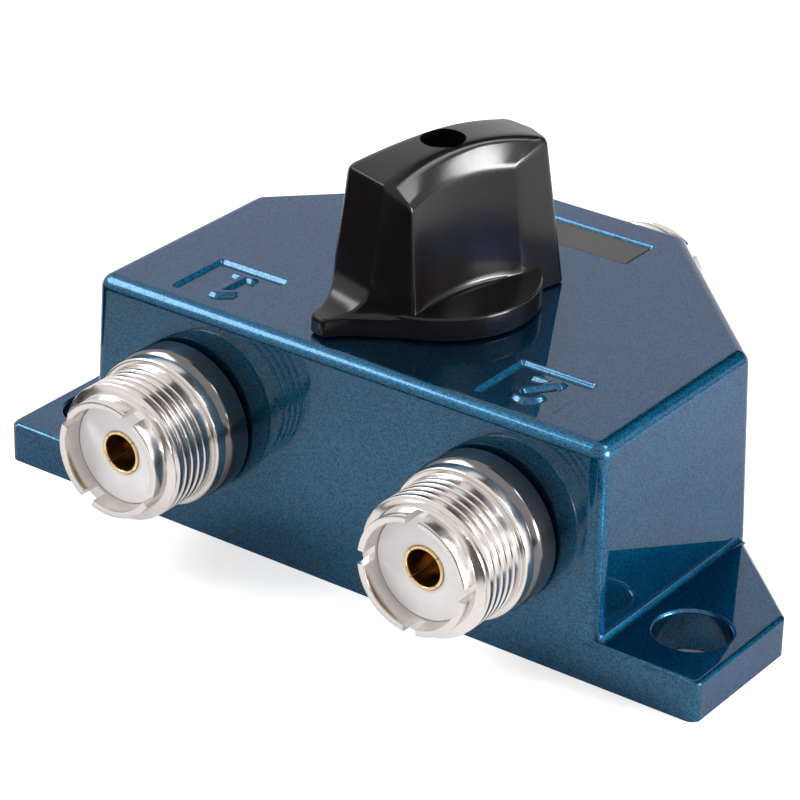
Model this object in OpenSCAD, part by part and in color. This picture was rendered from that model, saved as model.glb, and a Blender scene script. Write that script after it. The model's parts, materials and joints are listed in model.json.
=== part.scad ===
// Coaxial antenna switch: one cable at the back joined to either of two at the front.
// Origin: on the base plane, on the spindle's axis. X runs along the front, towards
// port 2. The two ports face -Y, the common socket faces +Y, and Z is up.

/* [Housing] */
// Width of the body, without the ears
body_w = 68; // [64:0.5:72]
// Depth of the body, front to back
body_d = 51; // [48:0.5:56]
// Height of the body
body_h = 26.9; // [26:0.1:30]
// Depth of the straight side walls, before the slanted rear corners
side_d = 29.3; // [26:0.1:32]
// Distance from the front face to the spindle's axis
front_y = 19; // [18:0.1:20]
// How far each wall leans in, from the base to the top
draft = 0.7; // [0.4:0.1:1.2]
// Radius of the rounded top edge
top_round = 1.7; // [1:0.1:2.4]
// Radius of the upright corners
corner_r = 1.8; // [1:0.1:2.4]
// Thickness of the side walls
wall = 3.2; // [2.6:0.1:3.6]
// Thickness of the top wall
top_wall = 3.3; // [3:0.1:4]

/* [Mounting ears] */
// Width over both ears
ear_span = 92.5; // [90:0.5:98]
// Thickness of the ears
ear_t = 4.8; // [4:0.1:6]
// Depth of an ear's outer edge
ear_d = 17.5; // [15:0.1:19]
// Diameter of the mounting holes
ear_hole_d = 8.2; // [6:0.1:8.4]
// Distance between the two mounting holes
ear_hole_gap = 80.4; // [79:0.1:81]
// Radius of the rounded lip of each hole
lip_r = 0.45; // [0.2:0.05:0.5]
// Radius of the ears' rounded edges
ear_edge = 0.5; // [0.3:0.1:0.8]

/* [Marked panels] */
// Width of each sunk panel over a port
panel_w = 9.3; // [8:0.1:10]
// Depth of each panel, front to back
panel_l = 8.8; // [8:0.1:9.5]
// How deep the panels are sunk
panel_sink = 0.5; // [0.3:0.1:0.7]
// Height of the raised number
digit_h = 6; // [5:0.1:6.5]
// Width of the strokes of the number
stroke = 1.1; // [0.8:0.1:1.3]
// Width of the sunk place for the name plate
plate_w = 21.8; // [20:0.1:23]
// Depth of the place for the name plate
plate_l = 5.9; // [5:0.1:7]

/* [Sockets] */
// Distance between the two front sockets
port_gap = 40; // [39:0.5:41]
// Height of the front sockets' axes
port_z = 13.9; // [13.4:0.1:14.2]
// Height of the common socket's axis
com_z = 13.2; // [13:0.1:14]
// Major diameter of the 5/8-24 thread
thread_d = 15.7; // [15.66:0.01:15.86]
// Pitch of the thread
pitch = 1.058; // [1.05:0.001:1.06]
// Inner diameter of the socket's mouth
mouth_d = 11.8; // [11.8:0.1:12.1]
// Inner diameter of the centre contact
contact_d = 4; // [3.95:0.01:4.05]
// Outer diameter of the centre contact
contact_od = 4.9; // [4.8:0.1:5]
// Length of a socket in front of its wall
socket_l = 13.25; // [13:0.05:14]
// Diameter of the shoulder behind the thread
shoulder_d = 17; // [16.6:0.1:17.2]
// Diameter of the black ring at the wall
ring_d = 17.5; // [17.2:0.1:17.8]
// Thickness of the black ring
ring_t = 3.5; // [3:0.1:3.8]

/* [Knob and switching] */
// Angle of the knob to the front, at port 1
half_throw = 17; // [15:1:20]
// Height of the knob
knob_h = 18.65; // [17:0.05:20]
// Diameter of the knob's round skirt
skirt_d = 22.3; // [21:0.1:23]
// Height of the skirt
skirt_h = 2.65; // [2.5:0.05:3.2]
// Distance from the axis to the pointer's tip
tip_u = 16.4; // [15:0.1:17.5]
// Diameter of the hole in the knob's top
knob_hole_d = 4.95; // [4.8:0.05:5.2]
// Diameter of the spindle
spindle_d = 6; // [5.95:0.01:6.05]

/* [Hidden] */

$fn = 64;
eps = 0.01;
fit = 0.03;                          // radial clearance of a part in its hole
bw = body_w / 2;
ew = ear_span / 2;
rear_y = body_d - front_y;
rear_bw = bw - (body_d - side_d);    // half width of the rear face
slant = bw + side_d - front_y;       // x + y on the slanted rear corners
ceiling = body_h - top_wall;
cover_t = 1.5;
cover_inset = 1.7;
boss_top = 5.2;
hole_y = ear_d / 2 - front_y - 0.05;
panel_y = -11;
panel_x = port_gap / 2 + 0.2;
plate_y = 23.15;
plate_t = 0.35;
plate_sink = 0.6;

// Colours as the object shows them
c_paint = [0.07, 0.27, 0.38];
c_black = [0.03, 0.03, 0.035];
c_nickel = [0.78, 0.76, 0.73];
c_steel = [0.62, 0.62, 0.63];
c_gold = [0.85, 0.66, 0.30];
c_brass = [0.78, 0.62, 0.30];
c_white = [0.93, 0.93, 0.94];
c_amber = [0.55, 0.35, 0.18];

// ---------------------------------------------------------------- housing

// Plan outline of the body, moved inwards by a distance
function body_plan(inset) =
  let (x = bw - inset,
       y0 = -front_y + inset,
       y1 = rear_y - inset,
       s = slant - inset * sqrt(2))
  [[-x, y0], [x, y0], [x, s - x], [s - y1, y1], [y1 - s, y1], [-x, s - x]];

module body_block() {
  low = body_plan(corner_r);
  high = body_plan(draft + top_round);
  hull() {
    for (p = low)
      translate([p[0], p[1], 0])
        cylinder(r = corner_r, h = ear_t, $fn = 32);
    for (p = high)
      translate([p[0], p[1], body_h - top_round])
        sphere(r = top_round, $fn = 40);
  }
}

module ear_plate() {
  corners = [[ew, -front_y], [ew, ear_d - front_y], [bw, slant - bw - 0.5]];
  shrink = [[-1, 1], [-1, -0.6], [-0.4, -1]];
  hull()
    for (side = [-1, 1], i = [0 : 2], step = [0, 1]) {
      r = 1.1;
      p = corners[i] + shrink[i] * r;
      translate([side * p[0], p[1], 0])
        cylinder(r = r - step * ear_edge, h = ear_t - (1 - step) * ear_edge, $fn = 32);
    }
}

// Concave fillet where the top of an ear meets the side wall
module ear_fillet(side) {
  r = 1.2;
  x = bw - draft * ear_t / body_h - 0.15;
  translate([0, slant - bw - 1.4, ear_t])
    rotate([90, 0, 0])
      linear_extrude(height = side_d - 2.1)
        difference() {
          translate([side > 0 ? x : -x - r, 0])
            translate([0, -0.2])
              square([r, r + 0.2]);
          translate([side * (x + r), r])
            circle(r = r, $fn = 48);
        }
}

module ear_bore(side) {
  r = ear_hole_d / 2;
  translate([side * ear_hole_gap / 2, hole_y, 0]) {
    translate([0, 0, -1])
      cylinder(r = r, h = ear_t + 2);
    translate([0, 0, ear_t - lip_r])
      rotate_extrude()
        difference() {
          square([r + lip_r, lip_r + 1]);
          translate([r + lip_r, 0])
            circle(r = lip_r, $fn = 40);
        }
  }
}

// The numbers stand upside down from the front: they are read from behind
module digit_one() {
  translate([-stroke / 2, -digit_h / 2])
    square([stroke, digit_h]);
  polygon([[-stroke / 2, digit_h / 2], [-stroke / 2 - 1.3, digit_h / 2 - 1.2],
           [-stroke / 2 - 1.3, digit_h / 2 - 2.2], [0, digit_h / 2 - 1.1]]);
  translate([-1.5, -digit_h / 2])
    square([3, stroke * 0.8]);
}

module digit_two() {
  r = digit_h * 0.3;
  top = digit_h / 2 - r;
  difference() {
    translate([0, top])
      circle(r = r);
    translate([0, top])
      circle(r = r - stroke);
    polygon([[0, top], [-3 * r, top + 0.2], [-3 * r, -3 * r], [r * 0.5, -3 * r]]);
  }
  polygon([[r * 0.93, top - r * 0.36], [r * 0.93 - stroke * 1.15, top - r * 0.36],
           [-r, -digit_h / 2], [-r + stroke * 1.2, -digit_h / 2]]);
  translate([-r, -digit_h / 2])
    square([2 * r, stroke]);
}

module number(which) {
  side = which == 1 ? -1 : 1;
  translate([side * panel_x, panel_y, body_h - panel_sink - 0.1])
    rotate([0, 0, 180])
      linear_extrude(height = panel_sink + 0.05)
        if (which == 1)
          digit_one();
        else
          digit_two();
}

module sunk_panel(x, y, w, l, depth) {
  translate([x - w / 2, y - l / 2, body_h - depth])
    cube([w, l, depth + 1]);
}

module socket_hole(x, z, rear) {
  translate([x, rear ? rear_y + 1 : -front_y - 1, z])
    rotate([rear ? 90 : -90, 0, 0])
      cylinder(r = barrel_r + 0.1, h = wall + 2);
}

// Posts under the top wall: two hold the detent leaf, two stop the cam
leaf_x = 10;
leaf_y = 8.2;
module ceiling_posts() {
  for (side = [-1, 1])
    translate([side * leaf_x - 1.75, leaf_y, cam_z - 0.4])
      cube([3.5, 4, ceiling - cam_z + 1]);
  for (a = [-90 - half_throw - stop_step, -90 + half_throw + stop_step])
    rotate([0, 0, a])
      translate([stop_u, 0, cam_z - 0.3])
        cylinder(r = stop_r, h = ceiling - cam_z + 1);
}

boss_at = [[-28.6, -13.6], [28.6, -13.6], [-16.4, 20.2], [16.4, 20.2]];
module screw_bosses() {
  for (p = boss_at)
    translate([p[0], p[1], cover_t + 0.1])
      cylinder(r = 3, h = boss_top - cover_t);
  for (side = [-1, 1])
    translate([side * 16.4, 20.2, cover_t + 0.1])
      rotate([0, 0, 90 - side * 45])
        translate([0, -3, 0])
          cube([3.6, 6, boss_top - cover_t]);
}

module housing() {
  color(c_paint)
  difference() {
    union() {
      difference() {
        union() {
          body_block();
          ear_plate();
          ear_fillet(-1);
          ear_fillet(1);
        }
        translate([0, 0, cover_t])
          linear_extrude(height = ceiling - cover_t)
            polygon(body_plan(wall));
        translate([0, 0, -1])
          linear_extrude(height = cover_t + 1 + eps)
            polygon(body_plan(cover_inset));
        for (side = [-1, 1])
          sunk_panel(side * panel_x, panel_y, panel_w, panel_l, panel_sink);
        sunk_panel(0, plate_y, plate_w, plate_l, plate_sink);
      }
      number(1);
      number(2);
      ceiling_posts();
      screw_bosses();
    }
    for (side = [-1, 1]) {
      ear_bore(side);
      socket_hole(side * port_gap / 2, port_z, false);
      translate([side * leaf_x, leaf_y - 1, cam_mid])
        rotate([-90, 0, 0])
          cylinder(r = 0.85, h = 4);
    }
    socket_hole(0, com_z, true);
    translate([0, 0, ceiling - 1])
      cylinder(r = bush_r + fit, h = top_wall + 2);
    for (p = boss_at)
      translate([p[0], p[1], cover_t])
        cylinder(r = 1.05, h = 3.4);
  }
}

module bottom_cover() {
  color(c_steel)
  difference() {
    union() {
      linear_extrude(height = cover_t - 0.02)
        polygon(body_plan(cover_inset + 0.1));
      cylinder(r = 4, h = spindle_foot - 0.1);
    }
    for (p = boss_at)
      translate([p[0], p[1], 0]) {
        translate([0, 0, -1])
          cylinder(r = 1.4, h = cover_t + 2);
        translate([0, 0, -eps])
          cylinder(r1 = 2.5, r2 = 1.4, h = 1.1);
      }
  }
}

module cover_screws() {
  color(c_steel)
  for (p = boss_at)
    translate([p[0], p[1], 0])
      difference() {
        union() {
          translate([0, 0, 0.05])
            cylinder(r1 = 2.4, r2 = 1.2, h = 1.05);
          cylinder(r = 1, h = 4.6);
        }
        translate([0, 0, -1])
          cylinder(r = 0.35, h = 1.6);
        for (a = [0, 90])
          rotate([0, 0, a])
            translate([-1.3, -0.25, -1])
              cube([2.6, 0.5, 1.6]);
      }
}

module name_plate() {
  color(c_black)
  translate([-plate_w / 2 + 0.15, plate_y - plate_l / 2 + 0.15, body_h - plate_sink])
    cube([plate_w - 0.3, plate_l - 0.3, plate_t]);
}

// ---------------------------------------------------------------- sockets
// A socket is drawn with its axis on Z and its wall at z = 0, open end up.

barrel_r = 6;                        // barrel through the wall
mouth_r = mouth_d / 2;
neck_r = mouth_r + 0.82;
neck_l = 1.95;                       // depth of the four notches
notch_w = 1.5;
thread_r = thread_d / 2;
root_r = thread_r - 0.62;
thread_turns = 4;
thread_z = socket_l - 2.85 - thread_turns * pitch;   // start of the thread
band_z = 5;                          // plain band between shoulder and thread
insul_z = 10.9;
contact_z = 11.1;
bore_l = 9;
inner_l = 6;                         // barrel behind the wall's outer face
pin_r = 1.6;
pin_l = 10;                          // centre contact behind the wall's face
slot_h = 0.64;
strip_t = 0.6;

// Ridges of the thread, as a profile turned round the axis
function thread_profile() =
  [for (i = [0 : thread_turns - 1], k = [0 : 3])
     let (z = thread_z + i * pitch)
     k == 0 ? [root_r, z] :
     k == 1 ? [thread_r - 0.03, z + pitch * 0.42] :
     k == 2 ? [thread_r - 0.03, z + pitch * 0.58] :
              [root_r, z + pitch * 0.99]];

module shell() {
  end = thread_z + thread_turns * pitch;
  profile = concat(
    [[mouth_r, -inner_l], [barrel_r, -inner_l], [barrel_r, ring_t],
     [shoulder_d / 2 - 0.2, ring_t], [shoulder_d / 2, ring_t + 0.2],
     [shoulder_d / 2, band_z - 0.2], [shoulder_d / 2 - 0.2, band_z],
     [thread_r, band_z], [thread_r, thread_z - 0.15], [root_r, thread_z - 0.1]],
    thread_profile(),
    [[root_r, end], [root_r + 0.2, end + 0.1], [root_r + 0.1, end + 0.5],
     [neck_r, socket_l - neck_l],
     [neck_r, socket_l - 0.1], [neck_r - 0.1, socket_l], [mouth_r, socket_l]]);
  color(c_nickel)
  difference() {
    rotate_extrude($fn = 96)
      polygon(profile);
    for (a = [0 : 90 : 270])
      rotate([0, 0, a])
        translate([mouth_r - 1, -notch_w / 2, socket_l - neck_l])
          cube([4, notch_w, neck_l + 1]);
  }
}

module ring() {
  color(c_black)
  difference() {
    cylinder(r = ring_d / 2, h = ring_t - 0.02);
    translate([0, 0, -1])
      cylinder(r = barrel_r + 0.05, h = ring_t + 2);
  }
}

module insulator() {
  color(c_white)
  difference() {
    translate([0, 0, -inner_l])
      cylinder(r = mouth_r - 0.02, h = insul_z + inner_l);
    translate([0, 0, -0.5])
      cylinder(r = contact_od / 2 + 0.03, h = insul_z + 2);
    translate([0, 0, -inner_l - 1])
      cylinder(r = pin_r + 0.03, h = inner_l + 2);
  }
}

module contact() {
  color(c_gold)
  difference() {
    union() {
      translate([0, 0, -0.45])
        cylinder(r = contact_od / 2, h = contact_z + 0.45);
      translate([0, 0, -pin_l])
        cylinder(r = pin_r, h = pin_l);
    }
    translate([0, 0, contact_z - bore_l])
      cylinder(r = contact_d / 2, h = bore_l + 1);
    for (a = [45, 135])
      rotate([0, 0, a])
        translate([-contact_od, -0.1, contact_z - 4])
          cube([2 * contact_od, 0.2, 6]);
    translate([-3, -slot_h / 2, -pin_l - 1])
      cube([6, slot_h, 4.1]);
  }
}

module ring_nut() {
  color(c_steel)
  difference() {
    translate([0, 0, -wall - 2.55])
      cylinder(r = 8.3, h = 2.5);
    translate([0, 0, -wall - 4])
      cylinder(r = barrel_r + 0.05, h = 5);
    for (a = [0 : 90 : 270])
      rotate([0, 0, a])
        translate([7.2, -0.75, -wall - 4])
          cube([3, 1.5, 2.2]);
  }
}

// Puts a part of a socket at its place: 1 and 2 in front, 3 at the back
module at_socket(which, turn = 0) {
  x = which == 1 ? -port_gap / 2 : which == 2 ? port_gap / 2 : 0;
  rear = which == 3;
  translate([x, rear ? rear_y : -front_y, rear ? com_z : port_z])
    rotate([rear ? -90 : 90, 0, 0])
      rotate([0, 0, turn])
        children();
}

turn_1 = -28;                        // how the notches of port 1 are turned
turn_3 = 45;                         // and those of the common port
module socket_shell_1() { at_socket(1, turn_1) shell(); }
module socket_shell_2() { at_socket(2) shell(); }
module socket_shell_com() { at_socket(3, turn_3) shell(); }
module socket_ring_1() { at_socket(1) ring(); }
module socket_ring_2() { at_socket(2) ring(); }
module socket_ring_com() { at_socket(3) ring(); }
module socket_insulator_1() { at_socket(1) insulator(); }
module socket_insulator_2() { at_socket(2) insulator(); }
module socket_insulator_com() { at_socket(3) insulator(); }
module socket_contact_1() { at_socket(1) contact(); }
module socket_contact_2() { at_socket(2) contact(); }
module socket_contact_com() { at_socket(3) contact(); }
module socket_nut_1() { at_socket(1) ring_nut(); }
module socket_nut_2() { at_socket(2) ring_nut(); }
module socket_nut_com() { at_socket(3) ring_nut(); }

// ------------------------------------------------------- inside: contacts

pad_z = port_z - strip_t / 2;        // underside of the two contact strips
pad_u = 10.5;
strip_w = 2.8;
leaf_gap = 0.15;                     // air left between sliding contacts
wiper_t = 0.5;
rf_z = pad_z + strip_t + leaf_gap;
tongue_z = rf_z + wiper_t + leaf_gap;
ground_z = pad_z - leaf_gap - wiper_t;

module contact_strip(side) {
  color(c_brass)
  translate([side > 0 ? 1.7 : -port_gap / 2 - 1.6, -pad_u - strip_w / 2, pad_z])
    cube([port_gap / 2 - 0.1, strip_w, strip_t]);
}

module contact_strip_1() { contact_strip(-1); }
module contact_strip_2() { contact_strip(1); }

module contact_strip_com() {
  end_y = rear_y - pin_l + 2.3;
  knee_y = 10.5;
  low_z = com_z - strip_t / 2;
  color(c_brass) {
    translate([-1.3, knee_y, low_z])
      cube([2.6, end_y - knee_y, strip_t]);
    translate([-2, knee_y, low_z])
      cube([4, strip_t, tongue_z + wiper_t - low_z]);
    translate([-2, hub_r + 0.25, tongue_z])
      cube([4, knee_y - hub_r, wiper_t]);
  }
}

// ------------------------------------------------------- inside: switching

spindle_r = spindle_d / 2;
flat_u = spindle_r - 0.6;            // the spindle's flat, from its axis
bush_r = 4.75;
bush_top = body_h + 2.05;
knob_z = body_h + 0.25;              // underside of the knob
web_z = knob_z + 11.2;               // web of the knob that the screw clamps
spindle_foot = 2.4;
collar_z = 18.2;                     // shoulder of the spindle
collar_t = 0.8;
hub_r = 4.5;
cam_z = collar_z + collar_t + 0.02;
cam_t = 1.2;
cam_mid = cam_z + cam_t / 2;
cam_r = 7;
stop_u = 9;
stop_r = 1.5;
lug_w = 3;
stop_step = asin((lug_w / 2 + stop_r + 0.05) / stop_u);

// Turns a part so that its +X points where the knob points at port 1
module along_pointer() {
  rotate([0, 0, -90 - half_throw])
    children();
}

// A bore for the spindle, with its flat
module keyed_bore(z, h, gap) {
  intersection() {
    translate([0, 0, z])
      cylinder(r = spindle_r + gap, h = h);
    translate([-10, -10, z - 1])
      cube([10 + flat_u + gap, 20, h + 2]);
  }
}

module spindle() {
  top = web_z - 0.1;
  color(c_steel)
  along_pointer()
    difference() {
      union() {
        keyed_bore(bush_top + 0.2, top - bush_top - 0.2, 0);
        translate([0, 0, cam_z + cam_t])
          cylinder(r = spindle_r, h = bush_top + 0.2 - cam_z - cam_t);
        keyed_bore(spindle_foot, cam_z + cam_t - spindle_foot, 0);
        translate([0, 0, collar_z])
          cylinder(r = hub_r, h = collar_t);
      }
      translate([0, 0, top - 8])
        cylinder(r = 1.05, h = 9);
      for (z = [clip_z, foot_clip_z])
        translate([0, 0, z])
          difference() {
            cylinder(r = spindle_r + 1, h = 0.8);
            translate([0, 0, -1])
              cylinder(r = 2.4, h = 3);
          }
    }
}

clip_z = cam_z + cam_t + 0.05;
foot_clip_z = 8.4;
module c_clip(z) {
  color(c_steel)
  along_pointer()
    translate([0, 0, z + 0.05])
      difference() {
        cylinder(r = 4.4, h = 0.7);
        translate([0, 0, -1])
          cylinder(r = 2.43, h = 3);
        translate([0, -1.6, -1])
          cube([6, 3.2, 3]);
      }
}
module spindle_clip() { c_clip(clip_z); }
module rotor_clip() { c_clip(foot_clip_z); }

module spindle_bush() {
  color(c_brass)
  difference() {
    union() {
      translate([0, 0, ceiling - 1.6])
        cylinder(r = 7, h = 1.58);
      translate([0, 0, ceiling - 1.6])
        cylinder(r = bush_r, h = bush_top - ceiling + 1.6);
    }
    translate([0, 0, ceiling - 3])
      cylinder(r = spindle_r + fit, h = 12);
  }
}

module bush_washer() {
  color(c_steel)
  translate([0, 0, body_h])
    difference() {
      cylinder(r = 7.4, h = 0.45);
      translate([0, 0, -1])
        cylinder(r = bush_r + 0.05, h = 3);
    }
}

module bush_nut() {
  color(c_brass)
  translate([0, 0, body_h + 0.47])
    difference() {
      cylinder(r = 7.2, h = 1.4, $fn = 6);
      translate([0, 0, -1])
        cylinder(r = bush_r + 0.05, h = 4);
    }
}

module rotor_hub() {
  z = ground_z + wiper_t + 0.05;
  color(c_amber)
  along_pointer()
    difference() {
      union() {
        translate([0, 0, z])
          cylinder(r = hub_r, h = collar_z - z - 0.02);
        translate([0, 0, z])
          cylinder(r = 6.2, h = rf_z - z - 0.02);
      }
      keyed_bore(z - 1, collar_z - z + 2, 0.04);
    }
}

module wiper_arm(reach, w) {
  translate([4, -w / 2, 0])
    cube([reach - w / 2 - 4, w, wiper_t]);
  translate([reach - w / 2, 0, 0])
    cylinder(r = w / 2, h = wiper_t);
}

module rf_wiper() {
  color(c_brass)
  along_pointer()
    translate([0, 0, rf_z])
      difference() {
        union() {
          cylinder(r = 6, h = wiper_t);
          wiper_arm(12.6, 2.6);
        }
        translate([0, 0, -1])
          cylinder(r = hub_r + 0.05, h = 3);
      }
}

module ground_wiper() {
  color(c_brass)
  along_pointer()
    difference() {
      translate([0, 0, ground_z]) {
        cylinder(r = 6, h = wiper_t);
        for (a = [-2, 2] * half_throw)
          rotate([0, 0, a])
            wiper_arm(12.6, 2.6);
      }
      keyed_bore(ground_z - 1, wiper_t + 2, 0.04);
    }
}

module rotor_collar() {
  low = foot_clip_z + 0.8;
  color(c_brass)
  along_pointer()
    difference() {
      translate([0, 0, low])
        cylinder(r = 4.6, h = ground_z - low - 0.03);
      keyed_bore(low - 1, ground_z - low + 2, 0.04);
    }
}

leaf_bump_y = cam_r + 0.3;
module detent_cam() {
  color(c_steel)
  difference() {
    along_pointer()
      difference() {
        union() {
          translate([0, 0, cam_z])
            cylinder(r = cam_r, h = cam_t);
          translate([cam_r - 1, -lug_w / 2, cam_z])
            cube([4, lug_w, cam_t]);
        }
        keyed_bore(cam_z - 1, cam_t + 2, 0.04);
      }
    for (a = [90, 90 - 2 * half_throw])
      rotate([0, 0, a])
        translate([leaf_bump_y, 0, cam_z - 1])
          cylinder(r = 1.2, h = cam_t + 2);
  }
}

module detent_leaf() {
  leaf_t = 0.4;
  color(c_steel)
  difference() {
    union() {
      translate([-leaf_x - 2.4, leaf_y - leaf_t - 0.02, cam_z + 0.1])
        cube([2 * leaf_x + 4.8, leaf_t, cam_t - 0.2]);
      for (side = [-1, 1])
        translate([side * leaf_x - 2.4, leaf_y - leaf_t - 0.02, cam_mid - 1.6])
          cube([4.8, leaf_t, 3.2]);
      intersection() {
        translate([0, leaf_bump_y, cam_z + 0.1])
          cylinder(r = 0.9, h = cam_t - 0.2);
        translate([-2, 0, 0])
          cube([4, leaf_y - 0.1, 40]);
      }
    }
    for (side = [-1, 1])
      translate([side * leaf_x, leaf_y - 2, cam_mid])
        rotate([-90, 0, 0])
          cylinder(r = 1.05, h = 4);
  }
}

module detent_screws() {
  head_y = leaf_y - 0.44;
  color(c_steel)
  for (side = [-1, 1])
    translate([side * leaf_x, head_y, cam_mid])
      rotate([-90, 0, 0])
        difference() {
          union() {
            translate([0, 0, -1])
              cylinder(r = 1.75, h = 1);
            translate([0, 0, -0.5])
              cylinder(r = 0.8, h = 3.5);
          }
          translate([-2, -0.2, -2])
            cube([4, 0.4, 1.5]);
        }
}

// ------------------------------------------------------------------- knob
// The knob is drawn with its pointer along +X and its underside at z = 0.
// Each ring runs round the grip at one height: tip edge, front crease, waisted
// side, rear crease and back corner, and then the same on the other side.

crease_u = 8.4;                      // widest place of the grip, in front
tail_foot = -7.85;                   // crease near the back, at the foot
tail_top = -6.6;
back_u = -13.85;                     // foot of the back
back_lean = 0.127;
front_u = 10.1;                      // top of the front face
front_h = 16.7;
tip_v = 1.1;
tip_h = 2.1;
bend_u = 11.6;                       // where the front face turns into the pointer
bend_h = 6.4;
bend_v = 3.46;
side_top = 15.5;
arch_r = 35;                         // radius of the arched top
arch_u = -1.3;
foot_swell = 0.55;                   // widening of the grip where it meets the skirt

// Half widths of the waist at the skirt, at the start of the bevel and at the top
function foot_v(u) = 4.15 + 0.024 * pow(u + 2, 2);
function side_v(u) = 3.85 + 0.019 * pow(u + 1.7, 2);
function top_v(u) = 2.8 + 0.0045 * pow(u + 1.5, 2);
function side_h(u) = side_top - 0.008 * pow(u + 1.7, 2);
function arch_h(u) = knob_h - arch_r + sqrt(arch_r * arch_r - pow(u - arch_u, 2));
function swell(h) = foot_swell * pow(min(1, max(0, 1 - (h - skirt_h) / 0.9)), 2);
function waist_v(u, h) =
  foot_v(u) + (side_v(u) - foot_v(u)) * (h - skirt_h) / (side_top - skirt_h) + swell(h);

function mirrored(half) =
  concat(half, [for (i = [len(half) - 1 : -1 : 0]) [half[i][0], -half[i][1], half[i][2]]]);

waist_steps = 8;
function grip_ring(h, u, v) =
  let (tail = tail_foot + (tail_top - tail_foot) * h / side_top)
  mirrored(concat(
    [[u, v, h]],
    [for (i = [0 : waist_steps])
       let (w = crease_u + (tail - crease_u) * i / waist_steps)
       [w, waist_v(w, h), h]],
    [[back_u + back_lean * h, 4.5 - 0.055 * h, h]]));

// The bevel runs from the first of these rings to the second
bevel_foot = mirrored(concat(
  [[front_u + 0.05, 3.14, front_h - 0.35]],
  [for (i = [0 : waist_steps])
     let (w = crease_u + (tail_top - crease_u) * i / waist_steps)
     [w, side_v(w), side_h(w)]],
  [[-11.75, 3.6, 16.7]]));
bevel_top = mirrored(concat(
  [[front_u - 0.1, 3.05, arch_h(front_u)]],
  [for (i = [0 : waist_steps])
     let (w = front_u - 0.7 - (front_u - 0.7 + 10.9) * i / waist_steps)
     [w, top_v(w), arch_h(w)]],
  [[-11.5, 3.4, arch_h(-11.5)]]));

// The front face bends out to the tip along a curve with two end points and a pull
flare_rings = [for (t = [0.9, 0.75, 0.6, 0.45, 0.3, 0.15, 0])
  let (q = 1 - t,
       u = q * q * bend_u + 2 * q * t * (bend_u + 0.4) + t * t * (tip_u - 0.1),
       h = q * q * (bend_h - tip_h) + tip_h,
       v = u < bend_u + 0.3 ? bend_v : bend_v - 0.69 * (u - bend_u - 0.3))
  grip_ring(h, u, v)];

grip_rings = concat(
  [grip_ring(0, tip_u + 0.1, tip_v), grip_ring(tip_h - 0.1, tip_u - 0.05, tip_v - 0.35)],
  flare_rings,
  [bevel_foot, bevel_top]);

// Joins rings of equal length with triangles, and closes both ends across
module skin(rings) {
  n = len(rings[0]);
  m = len(rings);
  last = (m - 1) * n;
  points = [for (r = rings, p = r) p];
  sides = [for (i = [0 : m - 2], j = [0 : n - 1], k = [0, 1])
    let (a = i * n + j,
         b = i * n + (j + 1) % n)
    k == 0 ? [a, b + n, b] : [a, a + n, b + n]];
  start = [for (j = [0 : n / 2 - 2], k = [0, 1])
    k == 0 ? [j, j + 1, n - 2 - j] : [j, n - 2 - j, n - 1 - j]];
  end = [for (f = start) [last + f[0], last + f[2], last + f[1]]];
  polyhedron(points = points, faces = concat(sides, start, end));
}

module knob() {
  color(c_black)
  along_pointer()
    translate([0, 0, knob_z])
      difference() {
        union() {
          skin(grip_rings);
          cylinder(r1 = skirt_d / 2 + 0.05, r2 = skirt_d / 2, h = skirt_h);
        }
        translate([0, 0, -1])
          cylinder(r = 8, h = 1 + bush_top + 0.1 - knob_z);
        keyed_bore(-1, web_z - knob_z + 1, fit);
        translate([0, 0, web_z - knob_z - 1])
          cylinder(r = 1.4, h = 10);
        translate([0, 0, web_z - knob_z + 1.5])
          cylinder(r = knob_hole_d / 2, h = 12);
      }
}

module knob_screw() {
  color(c_steel)
  translate([0, 0, web_z])
    difference() {
      union() {
        translate([0, 0, 1.52])
          cylinder(r = 2.2, h = 1.6);
        translate([0, 0, -6])
          cylinder(r = 1, h = 7.6);
      }
      for (a = [0, 90])
        rotate([0, 0, a])
          translate([-1.3, -0.3, 2.3])
            cube([2.6, 0.6, 2]);
    }
}

housing();
bottom_cover();
cover_screws();
name_plate();
socket_shell_1();
socket_shell_2();
socket_shell_com();
socket_ring_1();
socket_ring_2();
socket_ring_com();
socket_insulator_1();
socket_insulator_2();
socket_insulator_com();
socket_contact_1();
socket_contact_2();
socket_contact_com();
socket_nut_1();
socket_nut_2();
socket_nut_com();
contact_strip_1();
contact_strip_2();
contact_strip_com();
spindle_bush();
bush_washer();
bush_nut();
spindle();
spindle_clip();
rotor_hub();
rf_wiper();
ground_wiper();
rotor_collar();
rotor_clip();
detent_cam();
detent_leaf();
detent_screws();
knob();
knob_screw();
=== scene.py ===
# %% [markdown]
# # Coaxial antenna switch
# A painted die-cast box with three threaded coaxial sockets and a pointer knob. The
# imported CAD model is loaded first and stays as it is: it gives every size and place.
# The looks are then built on it, from finely worked surfaces and procedural finishes.

import json
import math

import bmesh
import bpy
import numpy as np
from mathutils import Matrix, Vector

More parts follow.
